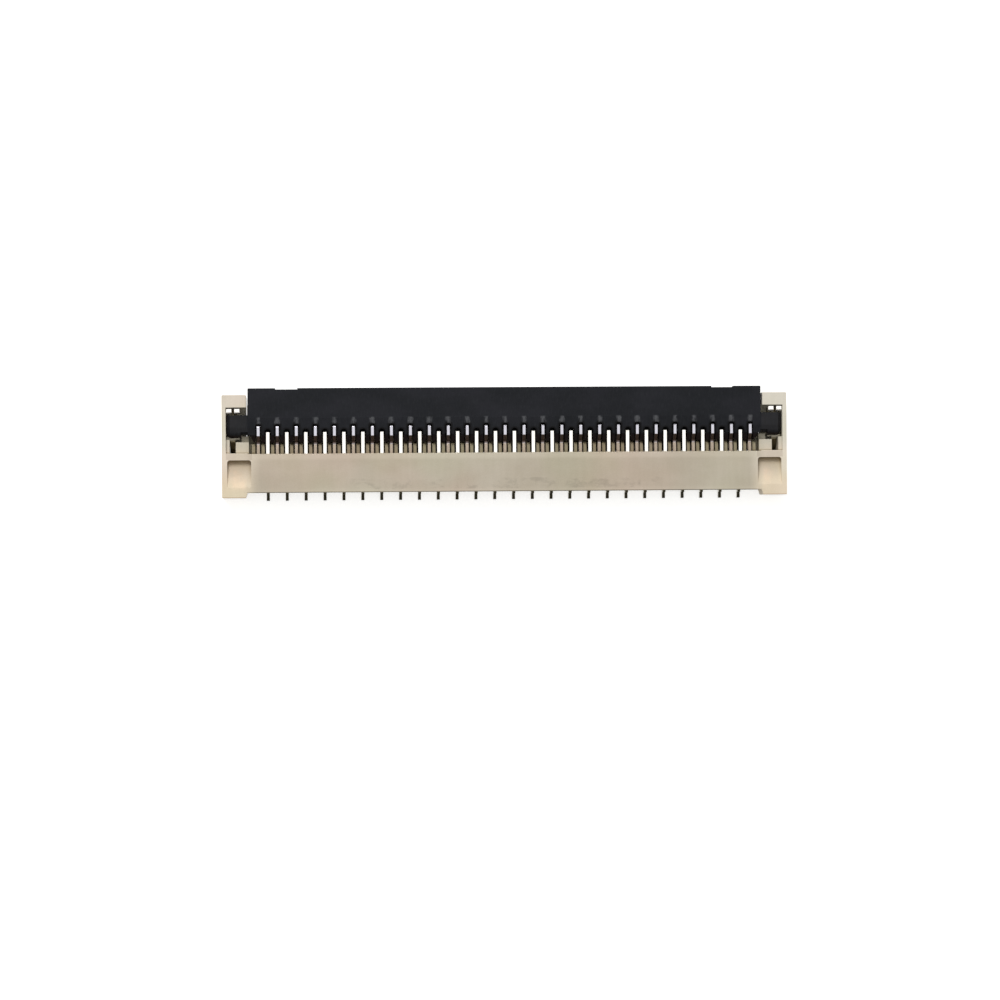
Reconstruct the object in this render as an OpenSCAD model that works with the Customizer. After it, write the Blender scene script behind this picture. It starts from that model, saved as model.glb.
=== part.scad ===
// Back-flip FPC connector, surface mount, fine pitch.
// The flat cable goes in from the front (-Y); a hinged actuator at the rear (+Y) swings up about X.
// Millimetres. +Z up, Z = 0 on the circuit board, X = 0 and Y = 0 in the middle of the footprint.

/* [Contacts] */
// Number of contacts; odd, so that the rear row holds one more than the front row
contact_count = 53; // [13:2:55]
// Distance from one contact to the next
pitch = 0.3; // [0.29:0.01:0.4]
// Thickness of the contact sheet
contact_t = 0.1; // [0.08:0.01:0.12]
// Free gap on each side of a contact in its way
way_gap = 0.01; // [0.005:0.005:0.02]
// Height of the lower beam of a contact
beam_h = 0.17; // [0.14:0.01:0.22]
// Height of the upper arm of a contact
arm_h = 0.13; // [0.1:0.01:0.14]
// Width of the pillar that joins beam and arm
pillar_w = 0.18; // [0.14:0.01:0.2]
// How far the arm of a rear row contact steps down behind its pillar
arm_drop = 0.05; // [0.03:0.01:0.07]
// Height of the rear row's hump over the hinge axis
hump_rise = 0.19; // [0.18:0.005:0.2]
// Height of a solder tail
tail_h = 0.12; // [0.08:0.01:0.13]
// Reach of the front tails past the top plate
front_tail_out = 0.25; // [0.2:0.01:0.4]
// Reach of the rear tails past the rear deck
rear_tail_out = 0.39; // [0.3:0.01:0.45]

/* [Cable slot] */
// Thickness of the flat cable
cable_t = 0.2; // [0.16:0.01:0.24]
// Height of the slot for the cable
slot_h = 0.3; // [0.28:0.01:0.36]
// Gap between the edge of the cable and the ear, each side
cable_gap = 0.05; // [0.03:0.01:0.1]
// Chamfer that leads the cable in
lead_in = 0.07; // [0.04:0.01:0.09]

/* [Housing] */
// Gap between the board and the housing
standoff = 0.03; // [0.01:0.01:0.05]
// Floor under the contact beams
floor_t = 0.1; // [0.08:0.01:0.14]
// Roof over the contact arms
roof_t = 0.22; // [0.2:0.01:0.3]
// Depth of the top plate, front to back
plate_d = 1.23; // [1.15:0.01:1.5]
// Open comb between the top plate and the actuator
comb_gap = 0.355; // [0.33:0.005:0.45]
// Width of a rib between two contacts
rib_w = 0.1; // [0.07:0.01:0.12]
// Width of an ear
ear_w = 0.8; // [0.76:0.01:1]
// Reach of the ears in front of the top plate
ear_nose = 0.16; // [0.1:0.01:0.24]
// Side wall of an ear beside its pocket
ear_wall = 0.13; // [0.1:0.01:0.15]
// Depth of the block at the rear of an ear
ear_rear_d = 0.4; // [0.3:0.01:0.5]
// Depth of the sloping recess in the top of an ear
recess_depth = 0.22; // [0.1:0.01:0.3]

/* [Actuator] */
// Width of a tooth of the comb
tooth_w = 0.12; // [0.1:0.01:0.14]
// Hinge axis to the front of the teeth
tooth_reach = 0.34; // [0.32:0.01:0.35]
// Long half axis of the cam held by the rear row
cam_long = 0.1; // [0.09:0.005:0.105]
// Short half axis of the cam
cam_short = 0.08; // [0.06:0.005:0.085]
// Radius of the lobe under a front row arm
lobe_r = 0.11; // [0.09:0.005:0.115]
// Running gap round cam and journal
run_gap = 0.01; // [0.005:0.005:0.015]
// Radius of the end journals
journal_r = 0.19; // [0.17:0.01:0.2]
// Hinge axis to the free edge
bar_reach = 1.375; // [1.3:0.005:1.6]
// Hinge axis to the end of the windows round the rear row's hooks
rear_window = 0.247; // [0.24:0.001:0.26]
// Hinge axis to the end of the windows round the front row's arms
front_window = 0.079; // [0.075:0.001:0.09]
// Thickness of the actuator bar
bar_t = 0.5; // [0.4:0.01:0.51]
// How far the bar lies under the top of the housing
bar_drop = 0.02; // [0.01:0.01:0.05]
// Gap at each end of the bar
bar_end_gap = 0.05; // [0.03:0.01:0.08]

/* [Fittings] */
// Thickness of the fitting sheet
fitting_t = 0.12; // [0.1:0.01:0.13]
// Width of a fitting
fitting_w = 0.43; // [0.4:0.01:0.45]
// Width of its riser
riser_w = 0.17; // [0.14:0.01:0.19]

/* [Hidden] */
$fn = 48;

// Heights, from the board up
beam_z0 = standoff + floor_t;
beam_z1 = beam_z0 + beam_h;
slot_z0 = beam_z1 + 0.03;
slot_z1 = slot_z0 + slot_h;
slot_mid = (slot_z0 + slot_z1) / 2;
arm_z0 = slot_z1 + 0.02;
arm_z1 = arm_z0 + arm_h;
body_h = arm_z1 + roof_t;
axis_z = arm_z1 - 0.04;
bar_z1 = body_h - bar_drop;
bar_z0 = bar_z1 - bar_t;
rear_deck_z = beam_z0 + 0.07;
rear_beam_z = bar_z0 - 0.04;
hump_z = axis_z + hump_rise;

// Depths, front to back, with the whole footprint centred on Y = 0
depth = front_tail_out + plate_d + comb_gap + tooth_reach + bar_reach;
tail_y = -depth / 2;
plate_y0 = tail_y + front_tail_out;
plate_y1 = plate_y0 + plate_d;
comb_y = plate_y1 + comb_gap;
axis_y = comb_y + tooth_reach;
bar_y1 = axis_y + bar_reach;
ear_y0 = plate_y0 - ear_nose;
ear_y1 = bar_y1 - 0.21;
pocket_y0 = plate_y1 + 0.02;
pocket_y1 = ear_y1 - ear_rear_d;
deck_y0 = plate_y0 + 0.075;
deck_y1 = pocket_y1 + 0.085;
rib_y0 = plate_y1 - 0.105;
rib_y1 = comb_y - 0.03;
pillar_y0 = plate_y1 + 0.095;
pillar_y1 = pillar_y0 + pillar_w;
arm_way_y0 = plate_y0 + 0.13;

// Widths, from the middle out
row_w = (contact_count - 1) * pitch;
slot_w = row_w + 2 * pitch + 2 * cable_gap;
body_w = slot_w + 2 * ear_w;
bar_w = slot_w - 0.04;
pocket_x1 = body_w / 2 - ear_wall;
journal_x1 = pocket_x1 - 0.03;
neck_x1 = journal_x1 - 0.44;
fitting_x1 = pocket_x1 - 0.01;
fitting_x0 = fitting_x1 - fitting_w;
riser_x0 = fitting_x0 + 0.14;
riser_x1 = riser_x0 + riser_w;
way_w = contact_t + 2 * way_gap;
window_w = pitch - tooth_w;
recess_r = cam_long + run_gap;
shelf_z = axis_z - journal_r - run_gap - 0.14;
edge = 0.02;

function contact_x(i) = (i - (contact_count + 1) / 2) * pitch;
function in_rear_row(i) = i % 2 == 1;
function contact_name(i) = str("contact_", i < 10 ? "0" : "", i);

// A profile drawn in Y and Z, carried along X from x0 to x1
module along_x(x0, x1) {
    translate([x0, 0, 0])
        rotate([90, 0, 90])
            linear_extrude(x1 - x0)
                children();
}

// A rectangle between two corners
module span(a, b) {
    translate(a) square(b - a);
}

// A block between two corners
module block(a, b) {
    translate(a) cube(b - a);
}

// The same shape at both ends of the connector
module both_ends() {
    children();
    mirror([1, 0, 0]) children();
}

// What a round of radius r takes off an outside corner; the metal lies towards side_y and side_z
module corner_off(y, z, r, side_y, side_z) {
    difference() {
        translate([y + side_y * (r - 0.02) / 2, z + side_z * (r - 0.02) / 2])
            square(r + 0.02, center = true);
        translate([y + side_y * r, z + side_z * r]) circle(r);
    }
}

/* ---------- housing ---------- */

// The deck under the contacts, thick at the cable slot and thin under the actuator's comb
module deck() {
    along_x(-slot_w / 2, slot_w / 2)
        polygon([
            [deck_y0, standoff],
            [deck_y1, standoff],
            [deck_y1, rear_deck_z],
            [rib_y1, rear_deck_z],
            [rib_y1, slot_z0],
            [deck_y0 + lead_in, slot_z0],
            [deck_y0, slot_z0 - lead_in],
        ]);
}

// The plate over the cable slot, with its lead-in chamfer and broken upper edges
module top_plate() {
    along_x(-slot_w / 2, slot_w / 2)
        polygon([
            [plate_y0, slot_z1 + lead_in],
            [plate_y0 + lead_in, slot_z1],
            [plate_y1, slot_z1],
            [plate_y1, body_h - edge],
            [plate_y1 - edge, body_h],
            [plate_y0 + edge, body_h],
            [plate_y0, body_h - edge],
        ]);
}

// The ribs that part the contacts and tie the top plate to the deck
module ribs() {
    top_z = slot_z1 + 0.02;
    for (i = [1 : contact_count + 1])
        translate([contact_x(i) - pitch / 2, 0, 0])
            along_x(-rib_w / 2, rib_w / 2)
                difference() {
                    span([rib_y0, slot_z0 - edge], [rib_y1, top_z]);
                    corner_off(rib_y1, top_z, 0.08, -1, -1);
                }
}

// The two ways of one contact: its arm's groove under the roof and its beam's groove in the deck
module contact_way(i) {
    rear = in_rear_row(i);
    translate([contact_x(i) - way_w / 2, 0, 0]) {
        block([0, arm_way_y0, slot_z1 - 0.1], [way_w, plate_y1 + 0.1, arm_z1]);
        block(
            [0, rear ? deck_y0 + 0.3 : deck_y0 - 0.1, beam_z0],
            [way_w, rear ? deck_y1 + 0.1 : rib_y1 + 0.2, slot_z0 + 0.1]
        );
    }
}

// The outline of an ear's block, seen from above: a nose with a lead-in, and a rear part that clears the bar
module ear_outline() {
    inner = slot_w / 2;
    rear_inner = bar_w / 2 + bar_end_gap;
    polygon([
        [inner - edge, deck_y0],
        [inner, plate_y0],
        [inner + 0.05, ear_y0],
        [body_w / 2 - edge, ear_y0],
        [body_w / 2, ear_y0 + edge],
        [body_w / 2, ear_y1 - edge],
        [body_w / 2 - edge, ear_y1],
        [rear_inner + edge, ear_y1],
        [rear_inner, ear_y1 - edge],
        [rear_inner, pocket_y0],
        [inner - edge, pocket_y0],
    ]);
}

// The pocket in an ear for journal and fitting: deep in front where the fitting rises, shallower behind
module ear_pocket() {
    inner = slot_w / 2 - edge;
    block([inner, pocket_y0, standoff + 0.12], [pocket_x1, comb_y + 0.2, body_h + 0.1]);
    block([inner, comb_y + 0.1, shelf_z], [pocket_x1, pocket_y1, body_h + 0.1]);
}

// What stands in the front of the pocket: an inner block with a lower step behind it, and an outer ledge
module pocket_blocks() {
    x0 = slot_w / 2 - 0.05;
    block([x0, pocket_y0 - edge, standoff], [riser_x0 - 0.01, comb_y + edge, axis_z]);
    block([x0, comb_y, standoff], [neck_x1 - 0.02, axis_y - 0.13, axis_z - 0.2]);
    block([riser_x1 + 0.01, pocket_y0 - edge, standoff], [pocket_x1 + edge, comb_y + 0.1, axis_z + 0.14]);
}

// The shallow bed under the ear for the fitting's foot, and the way up for its riser
module fitting_bed() {
    block([fitting_x0 - 0.01, ear_y0 + 0.18, 0], [fitting_x1 + 0.01, pocket_y0 + 0.03, fitting_t]);
    block([riser_x0 - 0.01, pocket_y0 - 0.12, 0], [riser_x1 + 0.01, comb_y - 0.1, slot_z0]);
}

// The recess in the top of an ear: deep and round-cornered at the rear, running out flush at the front
module ear_recess() {
    x0 = slot_w / 2 - 0.12;
    x1 = pocket_x1 - 0.04;
    y0 = plate_y0 + 0.17;
    y1 = plate_y1 - 0.2;
    r = 0.08;
    intersection() {
        along_x(x0, x1)
            polygon([
                [y1, body_h + 0.01],
                [y1, body_h - recess_depth],
                [y0, body_h],
                [y0, body_h + 0.01],
            ]);
        translate([0, 0, body_h - recess_depth - 0.1])
            linear_extrude(recess_depth + 0.2)
                difference() {
                    span([x0 - 0.1, y0 - 0.1], [x1 + 0.1, y1 + 0.1]);
                    corner_off(x0, y1, r, 1, -1);
                    corner_off(x1, y1, r, -1, -1);
                }
    }
}

module housing() {
    color("bisque")
        difference() {
            union() {
                deck();
                top_plate();
                ribs();
                both_ends() {
                    difference() {
                        translate([0, 0, standoff])
                            linear_extrude(body_h - standoff)
                                ear_outline();
                        ear_pocket();
                    }
                    pocket_blocks();
                }
            }
            for (i = [1 : contact_count])
                contact_way(i);
            both_ends() {
                fitting_bed();
                ear_recess();
            }
        }
}

/* ---------- actuator ---------- */

// The whole side profile: teeth round in front about the hinge axis, a slope up to the bar, a lifting chamfer
module actuator_profile() {
    lift = 0.14;
    belly_z = axis_z - 0.08 - 2 * lobe_r;
    intersection() {
        union() {
            translate([axis_y, axis_z]) circle(tooth_reach);
            span([axis_y, axis_z - tooth_reach], [bar_y1 + 0.1, body_h]);
        }
        polygon([
            [comb_y - 0.1, belly_z],
            [axis_y + 0.14, belly_z],
            [axis_y + 0.14 + (bar_z0 - belly_z), bar_z0],
            [bar_y1 - lift, bar_z0],
            [bar_y1, bar_z0 + lift],
            [bar_y1, bar_z1 - edge],
            [bar_y1 - edge, bar_z1],
            [axis_y + 0.43, bar_z1],
            [axis_y - 0.1, axis_z + 0.17],
            [comb_y - 0.1, axis_z - 0.01],
        ]);
    }
}

// The window round a contact, seen from above, with a round end at y1
module window_plan(y1) {
    r = window_w / 2;
    translate([0, 0, -0.1])
        linear_extrude(body_h + 0.2)
            union() {
                span([-r, comb_y - 0.1], [r, y1 - r]);
                translate([0, y1 - r]) circle(r);
            }
}

// A rear row window also clears the hook's swing and runs out in a short groove up the slope
module rear_row_window() {
    groove_w = 0.1;
    window_plan(axis_y + rear_window);
    translate([-window_w / 2, axis_y, axis_z])
        rotate([0, 90, 0]) cylinder(r = rear_window + 0.033, h = window_w);
    along_x(-groove_w / 2, groove_w / 2)
        polygon([
            [axis_y, axis_z + 0.12],
            [axis_y + rear_window, axis_z + 0.17],
            [axis_y + 0.43, bar_z1],
            [axis_y + 0.43, bar_z1 + 0.1],
            [axis_y, bar_z1 + 0.1],
        ]);
}

// The oval cam that a rear row hook holds
module cam() {
    rise = cam_long - cam_short;
    along_x(-pitch / 2, pitch / 2)
        translate([axis_y, axis_z])
            union() {
                span([-cam_short, -rise], [cam_short, rise]);
                translate([0, rise]) circle(cam_short);
                translate([0, -rise]) circle(cam_short);
            }
}

// The lobe that lifts a front row arm
module lobe() {
    translate([-pitch / 2, axis_y + 0.02, axis_z - 0.09 - run_gap - lobe_r])
        rotate([0, 90, 0]) cylinder(r = lobe_r, h = pitch);
}

// What is cut from each end of the comb so that its front corner clears the ear
module end_corner() {
    x1 = bar_w / 2;
    translate([0, 0, -0.1])
        linear_extrude(body_h + 0.2)
            polygon([
                [x1 + 0.1, comb_y - 0.1],
                [x1 - 0.25, comb_y - 0.1],
                [x1 - 0.2, comb_y],
                [x1 - 0.06, axis_y - 0.1],
                [x1 + 0.1, axis_y - 0.1],
            ]);
}

// The arm at each end that reaches into the ear's pocket: a slim neck, then the journal that turns in the fitting
module journal_arm() {
    arm_y1 = axis_y + 0.53;
    arm_z = axis_z - 0.12;
    top_z = axis_z + journal_r;
    neck_r = 0.1;
    x0 = bar_w / 2 - edge;
    skew = 0.1;
    translate([0, arm_y1, 0])
        rotate([90, 0, 0])
            linear_extrude(arm_y1 - axis_y)
                polygon([
                    [x0, arm_z],
                    [journal_x1, arm_z],
                    [journal_x1, top_z - skew],
                    [journal_x1 - skew, top_z],
                    [x0, top_z],
                ]);
    translate([x0, axis_y, axis_z])
        rotate([0, 90, 0]) cylinder(r = neck_r, h = journal_x1 - x0 - skew);
    translate([neck_x1, axis_y, axis_z])
        rotate([0, 90, 0]) cylinder(r = journal_r, h = journal_x1 - neck_x1 - skew);
    translate([journal_x1 - skew, axis_y, axis_z])
        rotate([0, 90, 0]) cylinder(r1 = journal_r, r2 = journal_r - skew, h = skew);
}

// The shallow notches in the free edge
module edge_notch() {
    x0 = bar_w / 2 - 1.57;
    block([x0, bar_y1 - 0.04, 0], [x0 + 0.7, bar_y1 + 0.1, body_h + 0.1]);
}

module actuator() {
    color("#26272b")
        union() {
            difference() {
                along_x(-bar_w / 2, bar_w / 2) actuator_profile();
                for (i = [1 : contact_count])
                    translate([contact_x(i), 0, 0])
                        if (in_rear_row(i)) rear_row_window();
                        else window_plan(axis_y + front_window);
                both_ends() {
                    end_corner();
                    edge_notch();
                }
            }
            for (i = [1 : contact_count])
                translate([contact_x(i), 0, 0])
                    if (in_rear_row(i)) cam();
                    else lobe();
            both_ends() journal_arm();
        }
}

/* ---------- contacts ---------- */

// A profile drawn in Y and Z, as thick as the contact sheet
module sheet() {
    along_x(-contact_t / 2, contact_t / 2) children();
}

// A rounded point that rises or falls from a beam to touch the cable
module nib(y, from_z, to_z) {
    r = 0.05;
    side = sign(to_z - from_z);
    sheet() translate([y, to_z - side * r]) circle(r);
    sheet()
        polygon([
            [y - r, to_z - side * r],
            [y + r, to_z - side * r],
            [y + 2 * r, from_z],
            [y - 2 * r, from_z],
        ]);
}

// The opening beside a pillar: its two corners at y are round
module mouth(y, side, z0, z1, r) {
    far = y + side * 0.2;
    near = y + side * r;
    sheet() span([min(near, far), z0], [max(near, far), z1]);
    sheet() span([min(y, far), z0 + r], [max(y, far), z1 - r]);
    sheet() translate([near, z0 + r]) circle(r);
    sheet() translate([near, z1 - r]) circle(r);
}

// The pillar between beam and arm, with round inside corners
module pillar(rear_z, rear_top_z) {
    r = 0.06;
    difference() {
        sheet() span([pillar_y0 - r, beam_z1 - edge], [pillar_y1 + r, arm_z0 + edge]);
        mouth(pillar_y0, -1, beam_z1, arm_z0, r);
        mouth(pillar_y1, 1, rear_z, rear_top_z, r);
    }
}

// The arm over the cable, slimmer towards its nib
module cable_arm(nib_y) {
    slim = 0.04;
    sheet()
        polygon([
            [pillar_y1, arm_z0],
            [pillar_y1, arm_z1],
            [pillar_y0, arm_z1],
            [nib_y - 0.12, arm_z1 - slim],
            [nib_y - 0.12, arm_z0],
        ]);
    nib(nib_y, arm_z0 + edge, slot_mid + cable_t / 2);
}

// A solder tail: a leg down from the beam and a toe on the board
module tail(leg_y, toe_y, side, top_z) {
    leg_w = 0.12;
    y0 = side > 0 ? leg_y : leg_y - leg_w;
    sheet()
        difference() {
            span([y0, 0], [y0 + leg_w, top_z]);
            corner_off(side > 0 ? y0 + leg_w : y0, top_z, 0.04, -side, -1);
        }
    sheet()
        difference() {
            span([min(toe_y, leg_y), 0], [max(toe_y, leg_y), tail_h]);
            corner_off(toe_y, tail_h, 0.04, -side, -1);
        }
}

// Front row: beam, tail at the front, and a straight arm whose end lies over the lobe
module front_row_contact() {
    tip_y = axis_y + 0.009;
    sheet() span([deck_y0 - 0.1, beam_z0], [pillar_y1 + 0.22, beam_z1]);
    tail(deck_y0 - 0.02, tail_y, -1, beam_z1);
    nib(deck_y0 + 0.55, beam_z1 - edge, slot_mid - cable_t / 2);
    pillar(beam_z1, arm_z0);
    cable_arm(deck_y0 + 0.38);
    sheet()
        difference() {
            span([pillar_y0, arm_z0], [tip_y, arm_z1]);
            corner_off(tip_y, arm_z1, 0.03, -1, -1);
            corner_off(tip_y, arm_z0, 0.03, -1, 1);
        }
}

// Rear row: beam with a cradle under the cam, tail at the rear, and a lower arm that climbs and hooks over the cam
module rear_row_contact() {
    tip_y = axis_y + recess_r + 0.086;
    low_z0 = arm_z0 - arm_drop;
    low_z1 = arm_z1 - arm_drop;
    beam_y0 = deck_y0 + 0.32;
    beam_y1 = deck_y1 + 0.02;
    difference() {
        union() {
            sheet() span([beam_y0, beam_z0], [pillar_y1, beam_z1]);
            sheet() span([pillar_y0, beam_z0], [beam_y1 + 0.05, rear_beam_z]);
            sheet()
                polygon([
                    [axis_y - 0.13, rear_beam_z - edge],
                    [axis_y - 0.09, axis_z - 0.08],
                    [axis_y + 0.09, axis_z - 0.08],
                    [axis_y + 0.15, rear_beam_z - edge],
                ]);
            tail(beam_y1, deck_y1 + rear_tail_out, 1, rear_beam_z);
            nib(beam_y0 + 0.1, beam_z1 - edge, slot_mid - cable_t / 2);
            pillar(rear_beam_z, low_z0);
            cable_arm(deck_y0 + 0.48);
            sheet()
                polygon([
                    [pillar_y0, low_z0],
                    [axis_y - 0.26, low_z0],
                    [axis_y - 0.1, axis_z - 0.03],
                    [tip_y, axis_z - 0.03],
                    [tip_y, hump_z],
                    [axis_y - 0.13, hump_z],
                    [comb_y + 0.01, low_z1],
                    [pillar_y1, low_z1],
                    [pillar_y1, arm_z1],
                    [pillar_y0, arm_z1],
                ]);
        }
        sheet() translate([axis_y, axis_z]) circle(recess_r);
        sheet() corner_off(tip_y, hump_z, 0.06, -1, -1);
        sheet() corner_off(tip_y, axis_z - 0.03, 0.03, -1, 1);
    }
}

module contact(i) {
    color(in_rear_row(i) ? "gainsboro" : "whitesmoke")
        translate([contact_x(i), 0, 0])
            if (in_rear_row(i)) rear_row_contact();
            else front_row_contact();
}

/* ---------- fittings ---------- */

// The fitting's strip, seen from its end: solder foot, riser, saddle under the journal, and lip behind it
module fitting_profile() {
    foot_y0 = ear_y0 + 0.2;
    foot_y1 = pocket_y0 + 0.02;
    saddle_y0 = axis_y - 0.26;
    saddle_y1 = axis_y + 0.32;
    lip_y1 = pocket_y1 - 0.03;
    lean = 0.05;
    curl = 0.04;
    difference() {
        union() {
            span([foot_y0, 0], [foot_y1, fitting_t]);
            polygon([
                [foot_y1 - fitting_t, 0],
                [foot_y1, 0],
                [saddle_y0 + 0.05, shelf_z],
                [saddle_y0 + 0.05, shelf_z + fitting_t],
                [saddle_y0 - 0.05, shelf_z + fitting_t],
                [foot_y1 - fitting_t, fitting_t],
            ]);
            span([saddle_y0, shelf_z], [saddle_y1, axis_z - 0.13]);
            span([saddle_y0, shelf_z], [lip_y1 - lean, shelf_z + fitting_t]);
            polygon([
                [lip_y1 - lean - fitting_t, shelf_z],
                [lip_y1 - lean, shelf_z],
                [lip_y1, body_h - 0.1],
                [lip_y1 - fitting_t - curl, body_h - 0.1],
            ]);
        }
        translate([axis_y, axis_z]) circle(journal_r + run_gap);
        corner_off(lip_y1 - fitting_t - curl, body_h - 0.1, 0.06, 1, -1);
    }
}

// A fitting: slim at its riser, and with a slot that leaves two prongs on its lip
module fitting() {
    notch_r = 0.04;
    notch_x = (fitting_x0 + fitting_x1) / 2;
    notch_z = shelf_z + fitting_t + 0.1;
    riser_y0 = pocket_y0 - 0.1;
    riser_y1 = comb_y + 0.11;
    color("silver")
        difference() {
            along_x(fitting_x0, fitting_x1) fitting_profile();
            block([fitting_x0 - 0.1, riser_y0, -0.1], [riser_x0, riser_y1, body_h]);
            block([riser_x1, riser_y0, -0.1], [fitting_x1 + 0.1, riser_y1, body_h]);
            translate([notch_x, pocket_y1, notch_z])
                rotate([90, 0, 0]) cylinder(r = notch_r, h = 0.3);
            block([notch_x - notch_r, pocket_y1 - 0.3, notch_z], [notch_x + notch_r, pocket_y1, body_h]);
        }
}

housing();
actuator();
mirror([1, 0, 0]) fitting();  // fitting_left
fitting();  // fitting_right
for (i = [1 : contact_count])
    contact(i);
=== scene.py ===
"""Flat cable connector: moulded housing, hinged actuator, 53 plated contacts and two end fittings."""
import math

import bmesh
import bpy
import numpy as np
from mathutils import Matrix, Vector

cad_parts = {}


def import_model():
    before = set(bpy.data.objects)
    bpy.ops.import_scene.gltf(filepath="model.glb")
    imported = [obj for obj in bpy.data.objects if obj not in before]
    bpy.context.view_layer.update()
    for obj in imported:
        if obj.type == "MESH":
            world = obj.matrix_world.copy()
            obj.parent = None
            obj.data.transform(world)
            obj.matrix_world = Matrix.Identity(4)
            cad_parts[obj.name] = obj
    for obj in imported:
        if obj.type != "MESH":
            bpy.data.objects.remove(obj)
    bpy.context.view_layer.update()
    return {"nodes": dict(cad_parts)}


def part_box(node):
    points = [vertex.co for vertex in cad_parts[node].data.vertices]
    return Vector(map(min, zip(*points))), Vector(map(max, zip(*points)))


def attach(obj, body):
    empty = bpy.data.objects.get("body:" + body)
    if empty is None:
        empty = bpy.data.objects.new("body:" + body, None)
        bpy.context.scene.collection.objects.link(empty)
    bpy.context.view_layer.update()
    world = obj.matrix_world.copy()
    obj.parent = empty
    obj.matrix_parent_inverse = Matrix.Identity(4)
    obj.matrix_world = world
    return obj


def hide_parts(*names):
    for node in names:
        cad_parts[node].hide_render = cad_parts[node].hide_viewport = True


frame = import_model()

MM = 0.001
NODES = frame["nodes"]
CONTACTS = sorted(n for n in NODES if n.startswith("contact_"))
PITCH = (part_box(CONTACTS[1])[0].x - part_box(CONTACTS[0])[0].x) / MM


# ---------- node building ----------

class Finish:
    """One material being put together: nodes are added by kind and joined as they are made.

    x, y and z are places on the part in millimetres, and out is x without its sign. A share is a number
    from 0 to 1 over the surface.
    """

    def __init__(self, name):
        self.material = bpy.data.materials.new(name)
        self.material.use_nodes = True
        self.tree = self.material.node_tree
        self.tree.nodes.clear()
        self.shader = self.add("BsdfPrincipled")
        self.output = self.add("OutputMaterial")
        self.put(self.output.inputs[0], self.shader.outputs[0])
        self.place = self.vector("MULTIPLY", self.add("TexCoord").outputs["Object"], (1 / MM,) * 3)
        self.x, self.y, self.z = self.add("SeparateXYZ", Vector=self.place).outputs
        self.out = self.calc("ABSOLUTE", self.x)

    def add(self, kind, settings=None, **inputs):
        made = self.tree.nodes.new("ShaderNode" + kind)
        for key, value in (settings or {}).items():
            setattr(made, key, value)
        for key, value in inputs.items():
            self.put(made.inputs[key.replace("_", " ")], value)
        return made

    def put(self, socket, value):
        if isinstance(value, bpy.types.NodeSocket):
            self.tree.links.new(value, socket)
        else:
            socket.default_value = value

    def vector(self, operation, a, b):
        made = self.add("VectorMath", {"operation": operation})
        self.put(made.inputs[0], a)
        self.put(made.inputs[1], b)
        return made.outputs[0]

    def calc(self, operation, *values):
        made = self.add("Math", {"operation": operation})
        for socket, value in zip(made.inputs, values):
            self.put(socket, value)
        return made.outputs[0]

    def step(self, value, low, high, to_low, to_high):
        """Smooth step: to_low up to low, to_high from high on, and an S curve between."""
        made = self.add("MapRange", {"interpolation_type": "SMOOTHSTEP"}, Value=value)
        for key, number in (("From Min", low), ("From Max", high), ("To Min", to_low), ("To Max", to_high)):
            made.inputs[key].default_value = number
        return made.outputs[0]

    def rise(self, value, low, high):
        return self.step(value, low, high, 0.0, 1.0)

    def fall(self, value, low, high):
        return self.step(value, low, high, 1.0, 0.0)

    def within(self, value, low, high, soft):
        """1 between low and high, fading to 0 over soft on each side."""
        return self.both(self.rise(value, low - soft, low), self.fall(value, high, high + soft))

    def both(self, first, *others):
        """The product: where shares are given, the share of what lies in all of them."""
        for other in others:
            first = self.calc("MULTIPLY", first, other)
        return first

    def rest(self, share):
        """The share that this one leaves."""
        return self.calc("SUBTRACT", 1.0, share)

    def stretched(self, stretch, shift):
        return self.vector("ADD", self.vector("MULTIPLY", self.place, stretch), shift)

    def noise(self, scale, detail=3.0, stretch=(1, 1, 1), shift=(0, 0, 0), rough=0.5):
        at = self.stretched(stretch, shift)
        return self.add("TexNoise", Vector=at, Scale=scale, Detail=detail, Roughness=rough).outputs[0]

    def cells(self, size, shift):
        """Distance to the nearest of scattered points in millimetres, and a random number for each point."""
        made = self.add("TexVoronoi", Vector=self.stretched((1, 1, 1), shift), Scale=1 / size)
        chance = self.add("SeparateXYZ", Vector=made.outputs["Color"]).outputs[0]
        return self.both(made.outputs["Distance"], size), chance

    def blend(self, share, a, b, kind="MIX"):
        made = self.add("Mix", {"data_type": "RGBA", "blend_type": kind})
        for key, value in (("Factor_Float", share), ("A_Color", a), ("B_Color", b)):
            self.put(next(s for s in made.inputs if s.identifier == key), value)
        return next(s for s in made.outputs if s.identifier == "Result_Color")

    def tint(self, share, colour, factor):
        """The colour times a factor for each channel, where share is 1."""
        return self.blend(share, colour, tuple(factor) + (1.0,), "MULTIPLY")

    def relief(self, coarse, fine, coarse_part, depth):
        """Small bumps out of two noises, depth millimetres high."""
        fine = self.both(fine, 1.0 - coarse_part)
        height = self.calc("MULTIPLY_ADD", coarse, coarse_part, fine)
        return self.add("Bump", Height=height, Distance=depth * MM, Strength=0.5).outputs[0]

    def surface(self, **inputs):
        for key, value in inputs.items():
            self.put(self.shader.inputs[key.replace("_", " ")], value)
        return self.material


def srgb(r, g, b):
    """Screen colour 0-255 to linear light."""
    return tuple(c / 3294.6 if c <= 10 else ((c / 255 + 0.055) / 1.055) ** 2.4 for c in (r, g, b)) + (1.0,)


# ---------- the housing's resin ----------

# Places in millimetres. X is counted from the middle outwards. A pair is where a change begins and ends.
TO_EAR = (7.70, 8.30)
TO_POCKET = (7.85, 7.95)
TO_OUTER_WALL = (8.83, 8.87)
TO_TOP_FACE = (0.93, 0.96)
RECESS_X = (8.00, 8.79)
RECESS_Y = (-1.37, -0.45)
PLATE_BACK = -0.31

PLATE_RESIN = srgb(190, 180, 163)
EAR_RESIN = srgb(228, 217, 200)
PALE_RIM = srgb(216, 205, 189)


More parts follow.
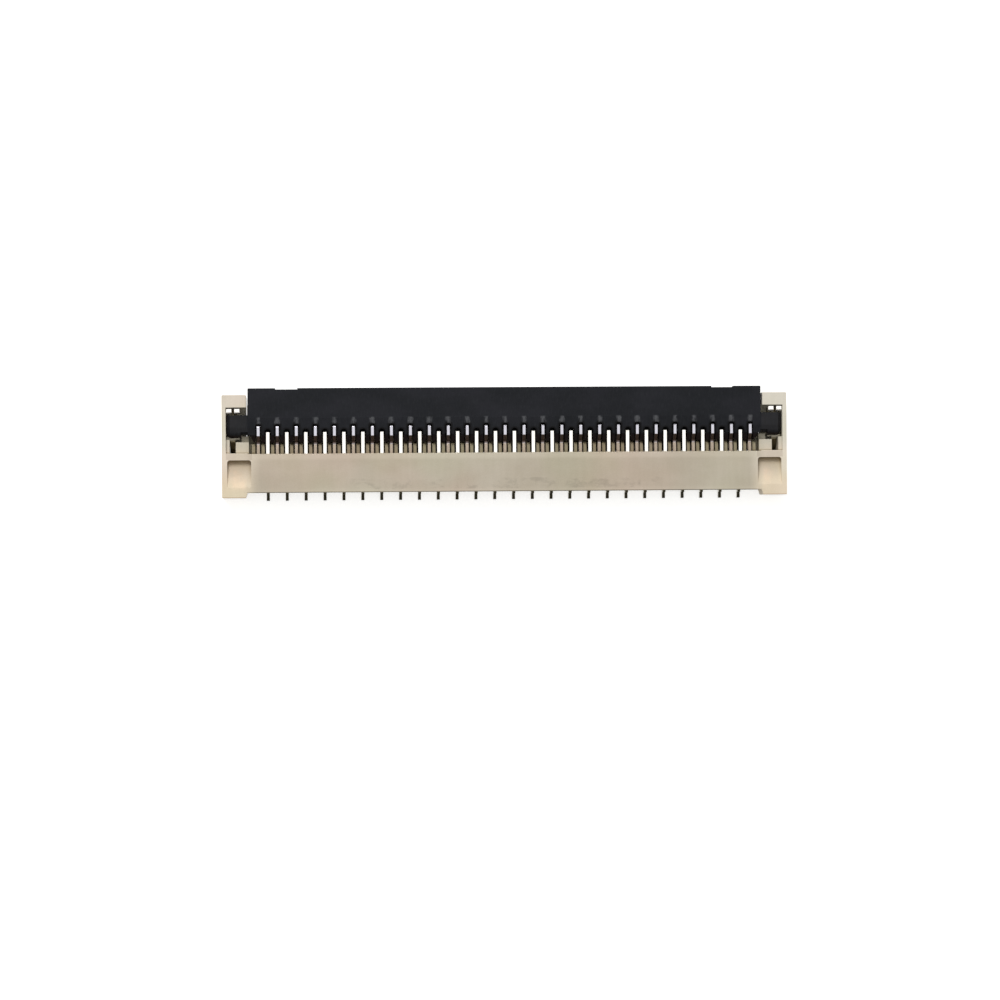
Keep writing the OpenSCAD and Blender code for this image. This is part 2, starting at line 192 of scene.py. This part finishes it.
def resin_clouds(f, colour):
    """Broad clouds from the flow of the melt, cooler and warmer patches, and fine lines along the flow."""
    broad = f.noise(0.55, 3.0, (1, 1.4, 1))
    warmer = f.noise(0.30, 2.0, shift=(7, 3, 0))
    cooler = f.noise(0.42, 2.0, shift=(1, 8, 4))
    lines = f.noise(1.0, 4.0, (7.0, 0.9, 1), (0, 11, 0))
    colour = f.tint(f.rise(broad, 0.35, 0.68), colour, (0.90, 0.89, 0.86))
    colour = f.tint(f.rise(warmer, 0.42, 0.66), colour, (1.05, 0.99, 0.99))
    colour = f.tint(f.rise(cooler, 0.42, 0.66), colour, (0.97, 1.0, 0.95))
    return f.tint(f.rise(lines, 0.3, 0.75), colour, (1.035, 1.035, 1.04))


def painted_depth_shade(f, colour, inside):
    """Painted shade: the comb and the ears' pockets lie low, and their resin is darkened to olive there."""
    deep_shade = f.both(f.fall(f.z, 0.66, 0.76), f.within(f.y, PLATE_BACK, 1.3, 0.02), inside)
    deep_shade = f.both(deep_shade, f.rise(f.z, 0.04, 0.09), f.step(f.out, 7.95, 8.1, 1.0, 0.35))
    return f.tint(deep_shade, colour, (0.60, 0.57, 0.47))


def recess_painted_light(f, colour):
    """The floors of the ears' recesses: painted shade turns them brown, darker where they lie lower and near
    the walls, and a pale painted highlight lies in front.
    """
    floor = f.both(f.within(f.y, *RECESS_Y, 0.01), f.within(f.out, *RECESS_X, 0.01))
    floor = f.both(floor, f.fall(f.z, 0.74, 1.0), f.rise(f.z, 0.5, 0.6))
    clear_of_walls = f.both(f.within(f.y, -1.6, -0.60, 0.07), f.within(f.out, 8.11, 8.70, 0.06))
    floor_highlight = f.both(f.within(f.y, -1.30, -0.92, 0.22), f.within(f.out, 8.28, 8.58, 0.16))
    floor_highlight = f.both(floor_highlight, f.rise(f.noise(2.4, 3.0, shift=(4, 4, 0)), 0.36, 0.66))
    # painted shade on the recess floor, stronger near its walls; painted highlight in front
    colour = f.tint(floor, colour, (0.50, 0.44, 0.345))
    colour = f.tint(f.both(floor, f.rest(clear_of_walls)), colour, (0.86, 0.83, 0.76))
    return f.tint(floor_highlight, colour, (1.12, 1.06, 1.04))


def ear_tones_and_painted_shade(f, colour, ear, inside):
    """Greyer round the pockets, duller behind the recess, warmer at the front, with painted shade on the low
    faces in the pockets and where the blocks begin.
    """
    pocket = f.both(f.rise(f.out, *TO_POCKET), inside)
    land = f.both(f.within(f.y, -0.47, -0.30, 0.03), f.within(f.out, 8.02, 8.80, 0.04))
    low = f.both(f.fall(f.z, 0.90, 0.96), f.within(f.y, PLATE_BACK, 0.3, 0.03), pocket)
    block_foot_shade = f.both(f.within(f.y, -0.33, -0.255, 0.025), f.fall(f.z, 0.94, 0.97), pocket)
    colour = f.tint(f.both(ear, f.rise(f.y, -0.35, 0.1)), colour, (0.91, 0.95, 0.98))
    colour = f.tint(f.both(land, f.rise(f.z, 0.9, 0.97)), colour, (0.82, 0.80, 0.79))
    colour = f.tint(f.both(ear, f.fall(f.y, -1.30, -0.70)), colour, (1.04, 1.0, 0.92))
    # painted shade: the low faces inside the pockets and the foot of each block
    colour = f.tint(low, colour, (0.84, 0.83, 0.82))
    return f.tint(block_foot_shade, colour, (0.72, 0.68, 0.60))


def resin_marks_and_edge_shade(f, colour, plate):
    """Dark specks in the resin, scuffs near the front edge, and painted shade along the broken front corners.
    """
    near, chance = f.cells(0.62, (3.1, 0.7, 0))
    speck = f.both(f.fall(near, 0.022, 0.055), f.rise(chance, 0.80, 0.84))
    worn = f.both(f.noise(2.6, 5.0, (1, 1.7, 1), (2, 9, 0), 0.65), f.within(f.y, -1.40, -1.12, 0.14))
    worn = f.both(f.rise(worn, 0.47, 0.66), f.within(f.x, -4.4, 4.4, 0.8))
    top = f.rise(f.z, *TO_TOP_FACE)
    plate_edge_shade = f.both(f.within(f.y, -1.527, -1.503, 0.010), top, plate)
    ear_edge_shade = f.both(f.fall(f.y, -1.668, -1.652), top)
    colour = f.tint(speck, colour, (0.70, 0.70, 0.68))
    colour = f.tint(worn, colour, (0.84, 0.84, 0.84))
    # painted shade along the front corners of the plate and the ears
    colour = f.tint(plate_edge_shade, colour, (0.48, 0.47, 0.44))
    return f.tint(ear_edge_shade, colour, (0.66, 0.58, 0.52))


def housing_finish():
    """Ivory liquid crystal polymer: greyer where it is thin over the contacts, warmer in the solid ears."""
    f = Finish("housing_lcp")
    ear = f.rise(f.out, *TO_EAR)
    plate = f.rest(ear)
    inside = f.fall(f.out, *TO_OUTER_WALL)
    rim = f.calc("ADD", f.fall(f.y, -1.56, -1.34), f.within(f.y, -0.40, -0.29, 0.14))
    rim = f.both(rim, plate, f.rise(f.z, 0.6, 0.95), 0.38)
    grain = f.noise(26.0, 2.0, rough=0.6)
    colour = f.blend(ear, PLATE_RESIN, EAR_RESIN)
    colour = f.blend(rim, colour, PALE_RIM)
    colour = resin_clouds(f, colour)
    colour = f.tint(f.rise(grain, 0.3, 0.72), colour, (0.95, 0.945, 0.93))
    colour = painted_depth_shade(f, colour, inside)
    colour = recess_painted_light(f, colour)
    colour = ear_tones_and_painted_shade(f, colour, ear, inside)
    colour = resin_marks_and_edge_shade(f, colour, plate)
    rough = f.step(f.noise(5.0, 4.0, (1, 1.5, 1)), 0.3, 0.7, 0.44, 0.58)
    relief = f.relief(f.noise(9.0, 4.0), grain, 0.7, 0.012)
    return f.surface(Base_Color=colour, Roughness=rough, Normal=relief, IOR=1.5, Specular_IOR_Level=0.35)


# ---------- the actuator's resin ----------

TO_JOURNAL = (8.12, 8.20)
PAST_WINDOWS = (7.85, 7.90)
REAR_WINDOW_END = 0.58
FRONT_WINDOW_END = 0.39

BAR_RESIN = (srgb(23, 25, 29), srgb(30, 31, 36))
COMB_SHADE = srgb(21, 20, 22)
TOOTH_BROWN_REFLECTION = srgb(24, 14, 12)
FIBRES = srgb(50, 52, 57)
WINDOW_RIM_SHADE = srgb(13, 12, 14)
GROOVE_HIGHLIGHT = srgb(104, 105, 108)


def shaded_window_rims(f, colour, rows):
    """Painted shade darkens the rims of the windows, round their closed ends too."""
    for away, end in rows:
        past = f.calc("MAXIMUM", f.calc("SUBTRACT", f.y, end), 0.0)
        reach = f.calc("SQRT", f.calc("MULTIPLY_ADD", past, past, f.both(away, away)))
        rim = f.both(f.step(reach, 0.115, 0.155, 0.9, 0.0), f.rise(f.y, 0.20, 0.34))
        colour = f.blend(f.both(rim, f.fall(f.out, *PAST_WINDOWS)), colour, WINDOW_RIM_SHADE)
    return colour


def groove_highlights(f, colour, away):
    """A pale painted highlight streaks up the slope behind each rear row window."""
    wander = f.step(f.noise(9.0, 3.0, (1, 0.5, 1)), 0.3, 0.7, -0.03, 0.03)
    patchy = f.step(f.noise(14.0, 3.0, (1, 0.6, 1), (3, 1, 0)), 0.25, 0.6, 0.6, 1.0)
    painted_streak = f.both(f.fall(f.calc("ADD", away, wander), 0.015, 0.10), patchy)
    painted_streak = f.both(painted_streak, f.within(f.y, 0.69, 0.81, 0.07), f.rise(f.z, 0.85, 0.9))
    return f.blend(f.both(painted_streak, f.step(f.out, *PAST_WINDOWS, 0.75, 0.0)), colour, GROOVE_HIGHLIGHT)


def actuator_finish():
    """Near-black liquid crystal polymer with a cool cast, satin on the bar, brown and dull at the teeth; the
    brown is a painted reflection of the ivory housing.
    """
    f = Finish("actuator_lcp")
    fibre = f.noise(7.0, 4.0, (5.0, 0.8, 1), (0, 5, 0))
    colour = f.blend(f.rise(f.noise(0.8, 3.0, (1, 2, 1)), 0.35, 0.7), *BAR_RESIN)
    # painted sheen: a lighter band on the slope behind the windows
    colour = f.tint(f.within(f.y, 0.52, 0.80, 0.04), colour, (1.12, 1.10, 1.08))
    colour = f.tint(f.rise(f.out, *TO_JOURNAL), colour, (1.50, 1.38, 1.22))
    # painted shade darkens the comb in front of the windows
    colour = f.blend(f.both(f.within(f.y, 0.0, 0.5, 0.06), 0.5), colour, COMB_SHADE)
    # painted reflection of the housing, brown on the teeth
    colour = f.blend(f.both(f.fall(f.y, 0.22, 0.34), 0.9), colour, TOOTH_BROWN_REFLECTION)
    colour = f.blend(f.step(fibre, 0.45, 0.8, 0.0, 0.25), colour, FIBRES)

    # distance along X from the middle of the nearest window of the rear row, and of the front row
    turn = f.calc("FRACT", f.calc("ADD", f.calc("DIVIDE", f.x, 2 * PITCH), 0.5))
    from_rear = f.both(f.calc("ABSOLUTE", f.calc("SUBTRACT", turn, 0.5)), 2 * PITCH)
    from_front = f.calc("SUBTRACT", PITCH, from_rear)
    colour = shaded_window_rims(f, colour, ((from_rear, REAR_WINDOW_END), (from_front, FRONT_WINDOW_END)))
    colour = groove_highlights(f, colour, from_rear)

    rough = f.step(f.noise(4.0, 4.0, (2.5, 1, 1)), 0.3, 0.7, 0.38, 0.5)
    relief = f.relief(f.noise(8.0, 4.0, (1, 1.6, 1)), f.noise(30.0, 2.0), 0.7, 0.010)
    return f.surface(Base_Color=colour, Roughness=rough, Normal=relief, IOR=1.5, Specular_IOR_Level=0.12)


# ---------- plated metal ----------

LINES_OF_CONTACTS = (4.0, 0.6, 0.6)
LINES_OF_FITTINGS = (0.6, 4.0, 4.0)


def plated_finish(name, bright, stretch, shades):
    """Tin plate over the sheared edge of the sheet, with fine lines from the shearing.

    shades gives what is tarnished or lies in shade: a function of the finish for where, its colour, and
    how much rougher it is.
    """
    f = Finish(name)
    lines = f.noise(22.0, 3.0, stretch)
    mottled = f.noise(7.0, 3.0)
    rough = f.step(mottled, 0.3, 0.7, 0.16, 0.26)
    tone = f.tint(f.rise(lines, 0.3, 0.75), bright, (0.93, 0.92, 0.90))
    tone = f.tint(f.rise(mottled, 0.5, 0.8), tone, (0.93, 0.92, 0.90))
    for where, colour, duller in shades:
        share = where(f)
        tone = f.blend(share, tone, colour)
        rough = f.calc("MULTIPLY_ADD", share, duller, rough)
    relief = f.relief(lines, mottled, 0.6, 0.004)
    return f.surface(Base_Color=tone, Metallic=1.0, Roughness=rough, Normal=relief)


def sheared(f):
    """1 on the cut edge of the sheet, 0 on its two rolled faces, which face along X."""
    normal = f.add("NewGeometry").outputs["Normal"]
    facing = f.calc("ABSOLUTE", f.add("SeparateXYZ", Vector=normal).outputs[0])
    return f.fall(facing, 0.5, 0.9)


def rolled(f):
    return f.rest(sheared(f))


def inner_sides(f):
    """The rolled faces between the teeth and in the windows, where only dark resin is mirrored."""
    return f.both(rolled(f), f.within(f.y, -0.28, 0.80, 0.04))


def shaded_low_beams(f):
    """Painted shade on the lower beams under the windows."""
    return f.both(f.fall(f.z, 0.45, 0.55), f.within(f.y, -0.20, 0.74, 0.10))


def tails(f):
    outside = f.calc("ADD", f.fall(f.y, -1.50, -1.44), f.rise(f.y, 1.20, 1.26))
    return f.both(outside, sheared(f))


def tail_roots(f):
    """The rise of each tail beside the housing, paler than its foot."""
    return f.both(tails(f), f.rise(f.z, 0.16, 0.34))


# Painted shade with a painted beige reflection of the housing, on the rear row arms.
def rear_arm_shade(f):
    return f.both(f.fall(f.y, -0.02, 0.03), f.rise(f.z, 0.40, 0.5))


# Painted shade on the slope from a rear row arm up to its hook.
def rear_climb_shade(f):
    return f.both(f.within(f.y, 0.03, 0.25, 0.03), f.rise(f.z, 0.55, 0.65))


# Painted shade on the fitting where it runs low under the ear.
def under_ear_shade(f):
    return f.fall(f.z, 0.58, 0.70)


BOTH_ROWS = [
    (rolled, srgb(204, 200, 190), 0.10),
    (inner_sides, srgb(44, 42, 40), 0.30),
    (shaded_low_beams, srgb(58, 55, 50), 0.25),
    (tails, srgb(52, 49, 38), 0.25),
    (tail_roots, srgb(72, 68, 54), 0.0),
]
# painted shade and a painted reflection of the housing on the rear row arms and climbs
REAR_ROW_SHADE = [
    (rear_arm_shade, srgb(176, 162, 146), 0.30),
    (rear_climb_shade, srgb(92, 80, 76), 0.20),
]
FITTING_SHADE = [(under_ear_shade, srgb(128, 120, 98), 0.30)]


# ---------- rounds along the edges ----------

WELD = 1e-7
SAME_NORMAL = math.radians(4)
SAME_PLANE = math.radians(0.4)
RUNS_ON = math.radians(40)
SHARP = math.radians(50)
LONGEST_RUN = 400


def keep_true_normals(mesh):
    """Stores each corner's normal under a name of its own, so that it outlasts the welding."""
    normals = np.empty(len(mesh.loops) * 3, np.float32)
    mesh.corner_normals.foreach_get("vector", normals)
    mesh.attributes.new("true_normal", "FLOAT_VECTOR", "CORNER").data.foreach_set("vector", normals)


def keep_creases(bm):
    """An edge stays smooth where the surfaces on its two sides have the same normal at both of its ends."""
    true = bm.loops.layers.float_vector["true_normal"]
    for edge in bm.edges:
        edge.smooth = False
        if len(edge.link_loops) == 2:
            a, b = edge.link_loops
            agree = min(a[true].dot(b.link_loop_next[true]), a.link_loop_next[true].dot(b[true]))
            edge.smooth = agree > math.cos(SAME_NORMAL)


def run_on(edge, vert):
    """The sharp edges that carry this one on past vert with no corner, and the vertex where they end."""
    chain = []
    while len(chain) < LONGEST_RUN:
        others = [e for e in vert.link_edges if not e.smooth and e is not edge]
        if len(others) != 1:
            break
        after = others[0].other_vert(vert)
        turn = (vert.co - edge.other_vert(vert).co).angle(after.co - vert.co, 0.0)
        if turn > RUNS_ON or others[0] in chain:
            break
        chain.append(others[0])
        edge, vert = others[0], after
    return chain, vert


def line_length(edge, vert):
    """Length of the line of edges that leaves vert along this edge, up to its next corner."""
    chain = run_on(edge, edge.other_vert(vert))[0]
    return edge.calc_length() + sum(e.calc_length() for e in chain)


def round_width(edge, widths, wide_place, spare):
    """The widest round whose width fits more than spare times into the room at this edge's line, or 0.

    The room is the line's own length, three times its faces' depth, and the length of every line it meets.
    """
    ahead, end = run_on(edge, edge.verts[1])
    behind, start = run_on(edge, edge.verts[0])
    line = [edge] + ahead + behind
    room = sum(e.calc_length() for e in line)
    room = min(room, 3 * min(f.calc_area() / e.calc_length() for e in line for f in e.link_faces))
    for vert in (start, end):
        for other in vert.link_edges:
            if not other.smooth and other not in line:
                room = min(room, line_length(other, vert))
    for width in widths:
        if room > spare * width and (width == widths[-1] or all(wide_place(e) for e in line)):
            return width
    return 0.0


def mark_rounds(bm, widths, wide_place, spare):
    """Gives every sharp outside edge its round, as a share of the widest one."""
    share = bm.edges.layers.float.new("bevel_weight_edge")
    for edge in bm.edges:
        if not edge.smooth and edge.is_convex and edge.calc_face_angle(0.0) > SHARP:
            edge[share] = round_width(edge, widths, wide_place, spare) / widths[0]


def softened(node, body, material, fine, broad=None, top=0.0, kept_fine=None, spare=6):
    """The node's own shape with its outside edges broken by small rounds, in millimetres.

    Edges of upward faces above the height top get the broad round unless kept_fine holds there, and all
    other sharp edges the fine one.
    """
    broad = broad or fine

    def wide_place(edge):
        at = (edge.verts[0].co + edge.verts[1].co) / 2 / MM
        up = max(face.normal.z for face in edge.link_faces) > 0.6 and at.z > top
        return up and not (kept_fine and kept_fine(at))

    mesh = NODES[node].data.copy()
    mesh.name = node + "_finished"
    keep_true_normals(mesh)
    bm = bmesh.new()
    bm.from_mesh(mesh)
    bmesh.ops.remove_doubles(bm, verts=bm.verts, dist=WELD)
    keep_creases(bm)
    bmesh.ops.dissolve_limit(bm, angle_limit=SAME_PLANE, verts=bm.verts, edges=bm.edges)
    mark_rounds(bm, (broad * MM, fine * MM), wide_place, spare)
    bm.to_mesh(mesh)
    bm.free()
    for name in ("custom_normal", "true_normal"):
        if name in mesh.attributes:
            mesh.attributes.remove(mesh.attributes[name])
    mesh.polygons.foreach_set("use_smooth", np.ones(len(mesh.polygons), bool))
    mesh.materials.clear()
    mesh.materials.append(material)

    piece = bpy.data.objects.new(node + "_finished", mesh)
    bpy.context.scene.collection.objects.link(piece)
    bevel = piece.modifiers.new("broken_edges", "BEVEL")
    bevel.width = broad * MM
    bevel.segments = 2
    bevel.limit_method = "WEIGHT"
    bevel.use_clamp_overlap = False
    normals = piece.modifiers.new("flat_faces", "WEIGHTED_NORMAL")
    normals.keep_sharp = True
    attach(piece, body)
    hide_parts(node)


# ---------- pieces ----------

MOULDED_EDGE = 0.006
HOUSING_TOP_EDGE = 0.022
ACTUATOR_TOP_EDGE = 0.016
METAL_EDGE = 0.008
HOUSING_TOP = 0.93
ACTUATOR_TOP = 0.70


def in_recess(at):
    return 8.0 < abs(at.x) < 8.8 and -1.40 < at.y < -0.45


housing = housing_finish()
actuator = actuator_finish()
front_row = plated_finish("contact_tin", srgb(250, 247, 241), LINES_OF_CONTACTS, BOTH_ROWS)
# painted shade: the rear row is the same tin as the front row, drawn greyer
shaded_rear_row = plated_finish("contact_tin_rear_shaded", srgb(196, 195, 204), LINES_OF_CONTACTS, BOTH_ROWS + REAR_ROW_SHADE)
fitting = plated_finish("fitting_tin", srgb(248, 245, 240), LINES_OF_FITTINGS, FITTING_SHADE)

softened("housing", "base", housing,
         MOULDED_EDGE, HOUSING_TOP_EDGE, HOUSING_TOP, kept_fine=in_recess)
softened("actuator", "actuator", actuator,
         MOULDED_EDGE, ACTUATOR_TOP_EDGE, ACTUATOR_TOP, spare=4)
for side in ("left", "right"):
    softened("fitting_" + side, "base", fitting, METAL_EDGE)
for i, name in enumerate(CONTACTS):
    softened(name, "base", front_row if i % 2 else shaded_rear_row, METAL_EDGE)


# ---------- surroundings ----------

SHEET_HALF = 400
SHEET_BELOW = 0.01
SHEET_PALENESS = 0.72
CAMERA_AT = (-6.76, -1.80, 114.3)
CAMERA_AIM = (-0.173, -1.80, 0.80)
CAMERA_ROLL = math.radians(0.41)
CAMERA_LENS = 129.2


def pale_floor():
    """A white sheet under the part: it takes the part's shadow, and looks white itself and in reflections."""
    f = Finish("white_sheet")
    f.tree.nodes.remove(f.shader)
    matt = f.add("BsdfDiffuse", Color=(0.86, 0.86, 0.85, 1)).outputs[0]
    light = f.add("Emission", Color=(1.0, 1.0, 0.995, 1), Strength=0.86).outputs[0]
    ray = f.add("LightPath").outputs
    seen = f.calc("MAXIMUM", ray["Is Glossy Ray"], ray["Is Transmission Ray"])
    seen = f.calc("MAXIMUM", ray["Is Camera Ray"], seen)
    glow = f.add("AddShader")
    f.put(glow.inputs[0], light)
    f.put(glow.inputs[1], matt)
    share = f.add("MixShader", Fac=f.both(seen, SHEET_PALENESS))
    f.put(share.inputs[1], matt)
    f.put(share.inputs[2], glow.outputs[0])
    f.put(f.output.inputs[0], share.outputs[0])
    half, low = SHEET_HALF * MM, -SHEET_BELOW * MM
    corners = [(-half, -half, low), (half, -half, low), (half, half, low), (-half, half, low)]
    mesh = bpy.data.meshes.new("sheet")
    mesh.from_pydata(corners, [], [(0, 1, 2, 3)])
    mesh.materials.append(f.material)
    sheet = bpy.data.objects.new("sheet", mesh)
    bpy.context.scene.collection.objects.link(sheet)


def lamp(name, place, size, power):
    """A round lamp that faces the part."""
    data = bpy.data.lights.new(name, "AREA")
    data.shape = "DISK"
    data.size = size
    data.energy = power
    made = bpy.data.objects.new(name, data)
    made.location = place
    made.rotation_euler = (-Vector(place)).to_track_quat("-Z", "Y").to_euler()
    bpy.context.scene.collection.objects.link(made)


def camera():
    """Nearly straight down, a little to the left of the middle, and slightly turned."""
    place = Vector(CAMERA_AT) * MM
    ahead = (Vector(CAMERA_AIM) * MM - place).normalized()
    right = Vector((math.cos(CAMERA_ROLL), -math.sin(CAMERA_ROLL), 0))
    right = (right - ahead * right.dot(ahead)).normalized()
    up = right.cross(ahead)
    data = bpy.data.cameras.new("camera")
    data.sensor_width = 36.0
    data.lens = CAMERA_LENS
    data.clip_start = 0.001
    data.clip_end = 5.0
    made = bpy.data.objects.new("camera", data)
    made.matrix_world = Matrix.Translation(place) @ Matrix((right, up, -ahead)).transposed().to_4x4()
    bpy.context.scene.collection.objects.link(made)
    bpy.context.scene.camera = made


def world():
    made = bpy.data.worlds.new("studio")
    made.use_nodes = True
    back = next(n for n in made.node_tree.nodes if n.type == "BACKGROUND")
    back.inputs["Color"].default_value = (1.0, 0.99, 0.975, 1)
    back.inputs["Strength"].default_value = 0.30
    bpy.context.scene.world = made


pale_floor()
world()
lamp("overhead", (0.0, 0.01, 0.20), 0.20, 0.10)
lamp("window_side", (-0.05, 0.12, 0.14), 0.09, 0.24)
camera()
bpy.context.scene.view_settings.view_transform = "Standard"
